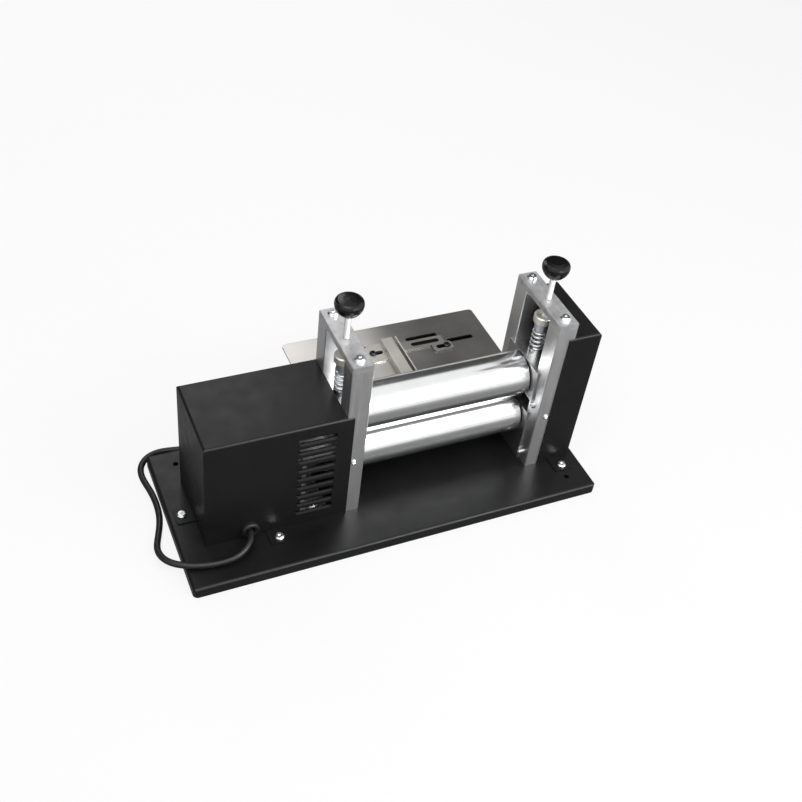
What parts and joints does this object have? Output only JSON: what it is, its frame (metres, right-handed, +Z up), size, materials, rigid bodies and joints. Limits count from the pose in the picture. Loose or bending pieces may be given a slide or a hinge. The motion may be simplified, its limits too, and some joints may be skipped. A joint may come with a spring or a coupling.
{
  "type": "leather skiving machine",
  "caption": "Bench leather skiving machine: geared chrome rollers in spring-loaded portals over a black base plate, with motor box, gear cover, feed table, guides and a mains lead.",
  "frame": {"origin": "centre of the base plate's four fixing holes, on its underside", "axes": "+X along the rollers towards the gear cover, +Y to the rear, towards the feed table, +Z up"},
  "size_m": [0.4411, 0.2737, 0.2375],
  "materials": {
    "black_paint": "satin powder coat",
    "post_aluminium": "satin milled",
    "bar_aluminium": "machined",
    "block_steel": "ground",
    "bronze": "sintered bronze",
    "roller_chrome": "polished",
    "gear_steel": "oiled steel",
    "zinc_screws": "bright zinc",
    "dark_steel": "blackened",
    "gearbox_grey": "matt paint",
    "motor_black": "satin paint",
    "zinc_sheet": "zinc plated",
    "capacitor_grey": "matt",
    "terminal_white": "matt",
    "switch_plastic": "matt",
    "rocker_plastic": "gloss",
    "grommet_rubber": "matt",
    "cord_black": "semi gloss",
    "plug_black": "semi gloss",
    "plug_brass": "plated",
    "spring_steel": "bright wire",
    "cap_nickel": "nickel plated",
    "knob_black": "high gloss",
    "table_steel": "brushed stainless",
    "guide_steel": "bright stainless",
    "clamp_black": "blackened",
    "blade_steel": "ground"
  },
  "bodies": {
    "frame": {"base_plate": "black_paint", "motor_box": "black_paint", "gear_cover": "black_paint", "foot_screws": "zinc_screws", "left_front_post": "post_aluminium", "left_rear_post": "post_aluminium", "left_top_bar": "bar_aluminium", "right_front_post": "post_aluminium", "right_rear_post": "post_aluminium", "right_top_bar": "bar_aluminium", "top_bar_screws": "zinc_screws", "side_screws": "zinc_screws", "block_screws": "zinc_screws", "lower_left_block": "block_steel", "lower_right_block": "block_steel", "lower_bushes": "bronze", "motor_bracket": "zinc_sheet", "bracket_screws": "zinc_screws", "gearbox_housing": "gearbox_grey", "motor_body": "motor_black", "run_capacitor": "capacitor_grey", "terminal_block": "terminal_white", "flange_screws": "zinc_screws", "switch_body": "switch_plastic", "cord_grommet": "grommet_rubber", "cord_run": "cord_black", "cord_coil": "cord_black", "plug_body": "plug_black", "plug_pins": "plug_brass", "feed_table": "table_steel", "table_brackets": "dark_steel", "table_screws": "zinc_screws", "guide_screws": "clamp_black", "blade_holder": "dark_steel", "skiving_blade": "blade_steel", "blade_screws": "zinc_screws"},
    "drive_roller": {"lower_roller": "roller_chrome", "lower_gear": "gear_steel", "lower_gear_screw": "zinc_screws", "shaft_coupling": "gear_steel", "gearbox_shaft": "gear_steel"},
    "pressure_carriage": {"upper_left_block": "block_steel", "upper_right_block": "block_steel", "upper_bushes": "bronze", "left_spring_seat": "zinc_screws", "right_spring_seat": "zinc_screws"},
    "pressure_roller": {"upper_roller": "roller_chrome", "upper_gear": "gear_steel", "upper_gear_screw": "zinc_screws"},
    "left_cap": {"left_spring_cap": "cap_nickel", "left_spring": "spring_steel"},
    "right_cap": {"right_spring_cap": "cap_nickel", "right_spring": "spring_steel"},
    "left_screw": {"left_adjusting_screw": "zinc_screws", "left_knob": "knob_black"},
    "right_screw": {"right_adjusting_screw": "zinc_screws", "right_knob": "knob_black"},
    "left_fence": {"left_guide": "guide_steel"},
    "right_fence": {"right_guide": "guide_steel"},
    "rocker": {"switch_rocker": "rocker_plastic"}
  },
  "joints": [
    {"name": "drive_spin", "type": "hinge", "parent": "frame", "child": "drive_roller", "pos_m": [0.058, 0.001, 0.056], "axis": [1, 0, 0], "continuous": true},
    {"name": "pressure_lift", "type": "slide", "parent": "frame", "child": "pressure_carriage", "axis": [0, 0, 1], "range_m": [0, 0.004], "stiffness_N_per_m": 45000, "springref_m": -0.003, "deforming": ["left_spring", "right_spring"]},
    {"name": "pressure_spin", "type": "hinge", "parent": "pressure_carriage", "child": "pressure_roller", "pos_m": [0.058, 0.001, 0.1056], "axis": [1, 0, 0], "continuous": true},
    {"name": "left_cap_slide", "type": "slide", "parent": "frame", "child": "left_cap", "axis": [0, 0, 1], "range_m": [-0.004, 0.003]},
    {"name": "left_knob_turn", "type": "hinge", "parent": "left_cap", "child": "left_screw", "pos_m": [-0.0445, 0.001, 0.2], "axis": [0, 0, 1], "range_deg": [-1450, 1090]},
    {"name": "right_cap_slide", "type": "slide", "parent": "frame", "child": "right_cap", "axis": [0, 0, 1], "range_m": [-0.004, 0.003]},
    {"name": "right_knob_turn", "type": "hinge", "parent": "right_cap", "child": "right_screw", "pos_m": [0.1605, 0.001, 0.2], "axis": [0, 0, 1], "range_deg": [-1450, 1090]},
    {"name": "left_guide_slide", "type": "slide", "parent": "frame", "child": "left_fence", "axis": [1, 0, 0], "range_m": [-0.008, 0.001]},
    {"name": "right_guide_slide", "type": "slide", "parent": "frame", "child": "right_fence", "axis": [1, 0, 0], "range_m": [-0.002, 0.009]},
    {"name": "switch_rock", "type": "hinge", "parent": "frame", "child": "rocker", "pos_m": [-0.09, 0.0437, 0.118], "axis": [0, 0, 1], "range_deg": [0, 20]}
  ],
  "couplings": [
    {"joint": "pressure_spin", "follows": "drive_spin", "ratio": -1},
    {"joint": "left_knob_turn", "follows": "left_cap_slide", "rad_per_m": 6283.2},
    {"joint": "right_knob_turn", "follows": "right_cap_slide", "rad_per_m": 6283.2}
  ]
}
